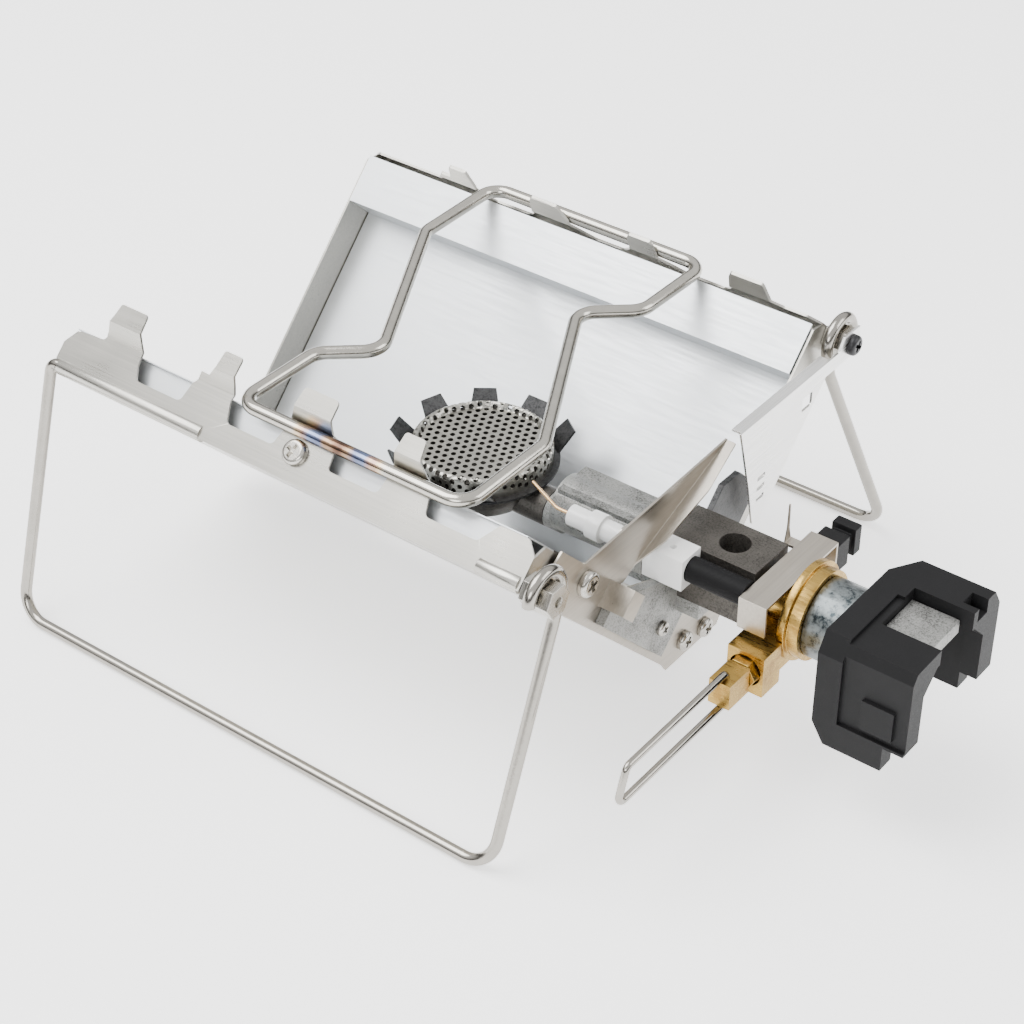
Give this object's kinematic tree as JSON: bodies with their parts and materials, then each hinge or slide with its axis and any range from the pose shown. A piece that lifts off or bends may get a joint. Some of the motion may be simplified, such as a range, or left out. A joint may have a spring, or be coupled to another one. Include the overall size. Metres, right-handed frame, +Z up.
{
  "type": "camping stove",
  "caption": "Folding two-leaf gas camping stove with wire legs, lift-off wire pot support, round perforated burner and a side regulator with cartridge holder.",
  "frame": {"origin": "on the ground, under the middle of the stove's box", "axes": "+X along the case towards the cartridge holder, +Y towards the back, +Z up"},
  "size_m": [0.2936, 0.2258, 0.1138],
  "materials": {
    "stainless": "satin, fine brushed",
    "liner": "bright satin",
    "wire": "polished wire",
    "zinc_casting": "rough as cast, speckled",
    "dark_casting": "dark as cast",
    "burnt_steel": "heat-darkened",
    "ceramic": "white glazed ceramic",
    "black_rubber": "matte",
    "black_plastic": "fine textured",
    "brass": "machined",
    "fastener": "bright",
    "cap_steel": "perforated, satin",
    "electrode": "drawn wire",
    "spring_steel": "drawn"
  },
  "bodies": {
    "case": {"air_block": "dark_casting", "burner_cap": "cap_steel", "burner_cup": "dark_casting", "burner_mount": "zinc_casting", "cartridge_holder": "black_plastic", "casting_screws": "fastener", "ceramic_socket": "ceramic", "diaphragm": "black_rubber", "electrode_ceramic": "ceramic", "electrode_clip": "stainless", "electrode_wire": "electrode", "end_plate": "stainless", "front_case": "stainless", "front_liner": "liner", "front_shield": "stainless", "front_standoff": "fastener", "gas_jet": "brass", "hinge_leaves_front": "stainless", "hinge_leaves_rear": "stainless", "hinge_pins": "stainless", "holder_tongue": "zinc_casting", "igniter_case": "burnt_steel", "igniter_housing": "black_plastic", "igniter_spring": "spring_steel", "inlet_seal": "black_rubber", "inlet_stem": "brass", "lead_sleeve": "black_rubber", "mixing_tube": "zinc_casting", "mount_nuts": "fastener", "petal_ring": "burnt_steel", "plate_screws": "fastener", "rear_case": "stainless", "rear_liner": "liner", "rear_shield": "stainless", "rear_standoff": "fastener", "regulator_flange": "brass", "regulator_housing": "zinc_casting", "regulator_spring": "spring_steel", "rim_nut": "fastener", "rim_screw": "fastener", "spindle_seal": "black_rubber", "standoff_bolts": "fastener", "valve_body": "brass", "valve_bracket": "stainless", "valve_gland": "brass"},
    "front_leg": {"front_leg": "wire"},
    "rear_leg": {"rear_leg": "wire"},
    "pot_support": {"pot_support": "wire"},
    "spindle": {"spindle": "brass"},
    "handle": {"handle": "wire"},
    "igniter_button": {"igniter_button": "black_plastic"}
  },
  "joints": [
    {"name": "front_leg_fold", "type": "hinge", "parent": "case", "child": "front_leg", "pos_m": [-0.0452, -0.08384, 0.09046], "axis": [1, 0, 0], "range_deg": [0, 57]},
    {"name": "rear_leg_fold", "type": "hinge", "parent": "case", "child": "rear_leg", "pos_m": [-0.0452, 0.08384, 0.09046], "axis": [-1, 0, 0], "range_deg": [0, 53]},
    {"name": "pot_support_lift", "type": "slide", "parent": "case", "child": "pot_support", "axis": [0, 0, 1], "range_m": [0, 0.03]},
    {"name": "valve_turn", "type": "hinge", "parent": "case", "child": "spindle", "pos_m": [0.0908, -0.03, 0.042], "axis": [0, -1, 0], "range_deg": [0, 330]},
    {"name": "handle_fold", "type": "hinge", "parent": "spindle", "child": "handle", "pos_m": [0.0908, -0.038, 0.042], "axis": [0, 0, 1], "range_deg": [-70, 80]},
    {"name": "igniter_press", "type": "slide", "parent": "case", "child": "igniter_button", "axis": [0, -1, 0], "range_m": [0, 0.0035], "stiffness_N_per_m": 1500, "deforming": ["igniter_spring"]}
  ]
}
